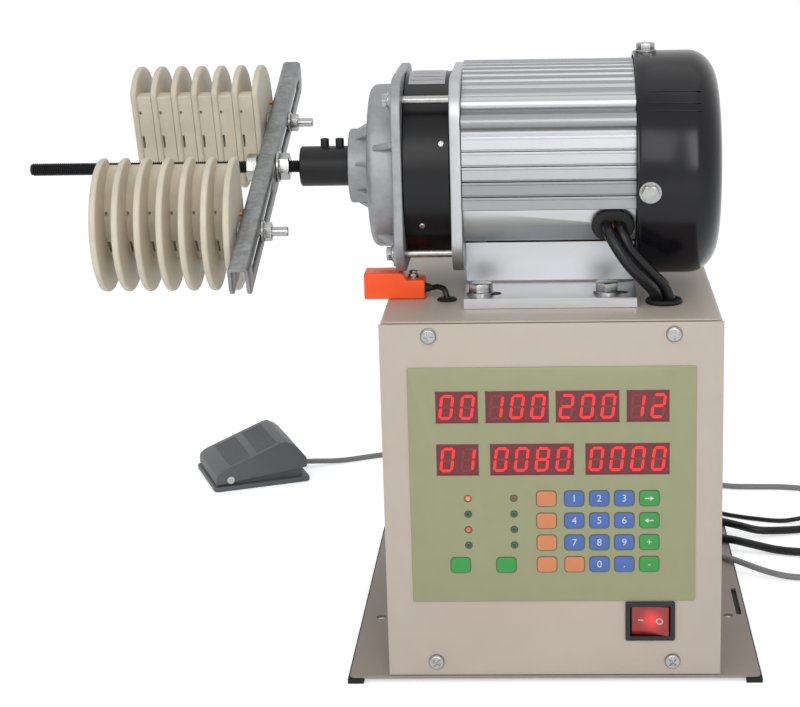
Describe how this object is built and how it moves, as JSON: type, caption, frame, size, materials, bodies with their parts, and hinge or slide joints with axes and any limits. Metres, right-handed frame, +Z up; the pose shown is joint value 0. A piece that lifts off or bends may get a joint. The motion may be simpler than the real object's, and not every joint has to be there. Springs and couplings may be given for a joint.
{
  "type": "coil winding machine",
  "caption": "Benchtop wire coil winder: a control cabinet with a geared motor on top, a cross arm with sliding winding formers, and a foot pedal.",
  "frame": {"origin": "middle of the base plate's underside", "axes": "+X to the right seen from the keypad, +Y to the back, +Z up"},
  "size_m": [0.5962, 0.5204, 0.3851],
  "materials": {
    "cabinet_paint": "satin beige-grey powder coat",
    "plate_paint": "satin taupe powder coat",
    "keypad_film": "matte printed film",
    "black_rubber": "matte",
    "grey_rubber": "matte",
    "black_plastic": "moulded",
    "gloss_black": "gloss",
    "red_lens": "translucent",
    "board_green": "solder mask",
    "body_aluminium": "extruded, satin",
    "cast_aluminium": "as cast",
    "zinc_steel": "zinc plated",
    "machined_steel": "machined",
    "black_steel": "black oxide",
    "copper": "enamelled wire",
    "cream_nylon": "moulded nylon",
    "orange_plastic": "moulded",
    "pedal_grey": "moulded, ribbed"
  },
  "bodies": {
    "base": {"base_plate": "plate_paint", "left_foot_strip": "black_rubber", "right_foot_strip": "black_rubber", "cabinet_cover": "cabinet_paint", "front_panel": "cabinet_paint", "rear_panel": "cabinet_paint", "keypad_overlay": "keypad_film", "control_board": "board_green", "power_supply": "zinc_steel", "motor_driver": "body_aluminium", "switch_frame": "black_plastic", "motor_body": "body_aluminium", "mid_flange": "cast_aluminium", "gear_casing": "black_steel", "front_housing": "cast_aluminium", "rear_cap": "gloss_black", "stator": "copper", "front_rotor_bearing": "machined_steel", "rear_rotor_bearing": "machined_steel", "output_bearing": "machined_steel", "ring_gear": "machined_steel", "sensor": "orange_plastic", "sensor_cable": "black_rubber", "front_motor_cable": "black_rubber", "back_motor_cable": "black_rubber", "pedal_base": "pedal_grey", "pedal_spring": "machined_steel", "pedal_switch": "black_plastic", "pedal_cord": "grey_rubber", "mains_cord": "black_rubber", "mains_coil": "black_rubber", "mains_plug": "black_plastic", "accessory_lead": "black_rubber", "lead_connector": "black_plastic"},
    "spindle": {"planet_carrier": "machined_steel", "shaft_coupling": "black_steel", "threaded_rod": "black_steel", "arm_channel": "zinc_steel"},
    "rotor": {"rotor": "machined_steel"},
    "planet_1": {"planet_gear_1": "machined_steel"},
    "planet_2": {"planet_gear_2": "machined_steel"},
    "planet_3": {"planet_gear_3": "machined_steel"},
    "front_formers": {"front_former_1": "cream_nylon", "front_former_2": "cream_nylon", "front_former_3": "cream_nylon", "front_former_4": "cream_nylon", "front_former_5": "cream_nylon", "front_former_6": "cream_nylon", "front_former_7": "cream_nylon", "front_former_bolt": "zinc_steel"},
    "rear_formers": {"rear_former_1": "cream_nylon", "rear_former_2": "cream_nylon", "rear_former_3": "cream_nylon", "rear_former_4": "cream_nylon", "rear_former_5": "cream_nylon", "rear_former_6": "cream_nylon", "rear_former_7": "cream_nylon", "rear_former_bolt": "zinc_steel"},
    "rocker": {"rocker": "red_lens"},
    "pedal_cover": {"pedal_cover": "pedal_grey"}
  },
  "joints": [
    {"name": "spindle_spin", "type": "hinge", "parent": "base", "child": "spindle", "pos_m": [0, -0.0395, 0.3078], "axis": [1, 0, 0], "continuous": true},
    {"name": "rotor_spin", "type": "hinge", "parent": "base", "child": "rotor", "pos_m": [0, -0.0395, 0.3078], "axis": [1, 0, 0], "continuous": true},
    {"name": "planet_1_spin", "type": "hinge", "parent": "spindle", "child": "planet_1", "pos_m": [-0.0795, -0.0095, 0.3078], "axis": [1, 0, 0], "continuous": true},
    {"name": "planet_2_spin", "type": "hinge", "parent": "spindle", "child": "planet_2", "pos_m": [-0.0795, -0.0545, 0.33378], "axis": [1, 0, 0], "continuous": true},
    {"name": "planet_3_spin", "type": "hinge", "parent": "spindle", "child": "planet_3", "pos_m": [-0.0795, -0.0545, 0.28182], "axis": [1, 0, 0], "continuous": true},
    {"name": "front_former_slide", "type": "slide", "parent": "spindle", "child": "front_formers", "axis": [0, -0.9511, -0.309], "range_m": [-0.04, 0.04]},
    {"name": "rear_former_slide", "type": "slide", "parent": "spindle", "child": "rear_formers", "axis": [0, 0.9511, 0.309], "range_m": [-0.027, 0.055]},
    {"name": "rocker_tilt", "type": "hinge", "parent": "base", "child": "rocker", "pos_m": [0.0594, -0.1401, 0.0383], "axis": [0, 0, 1], "range_deg": [0, 22]},
    {"name": "pedal_press", "type": "hinge", "parent": "base", "child": "pedal_cover", "pos_m": [-0.27447, 0.26423, 0.0058], "axis": [-0.3665, 0.9304, 0], "range_deg": [0, 5], "stiffness_Nm_per_rad": 2, "springref_deg": -17.19, "deforming": ["pedal_spring"]}
  ],
  "couplings": [
    {"joint": "rotor_spin", "follows": "spindle_spin", "ratio": 4},
    {"joint": "planet_1_spin", "follows": "spindle_spin", "ratio": -3},
    {"joint": "planet_2_spin", "follows": "spindle_spin", "ratio": -3},
    {"joint": "planet_3_spin", "follows": "spindle_spin", "ratio": -3}
  ]
}
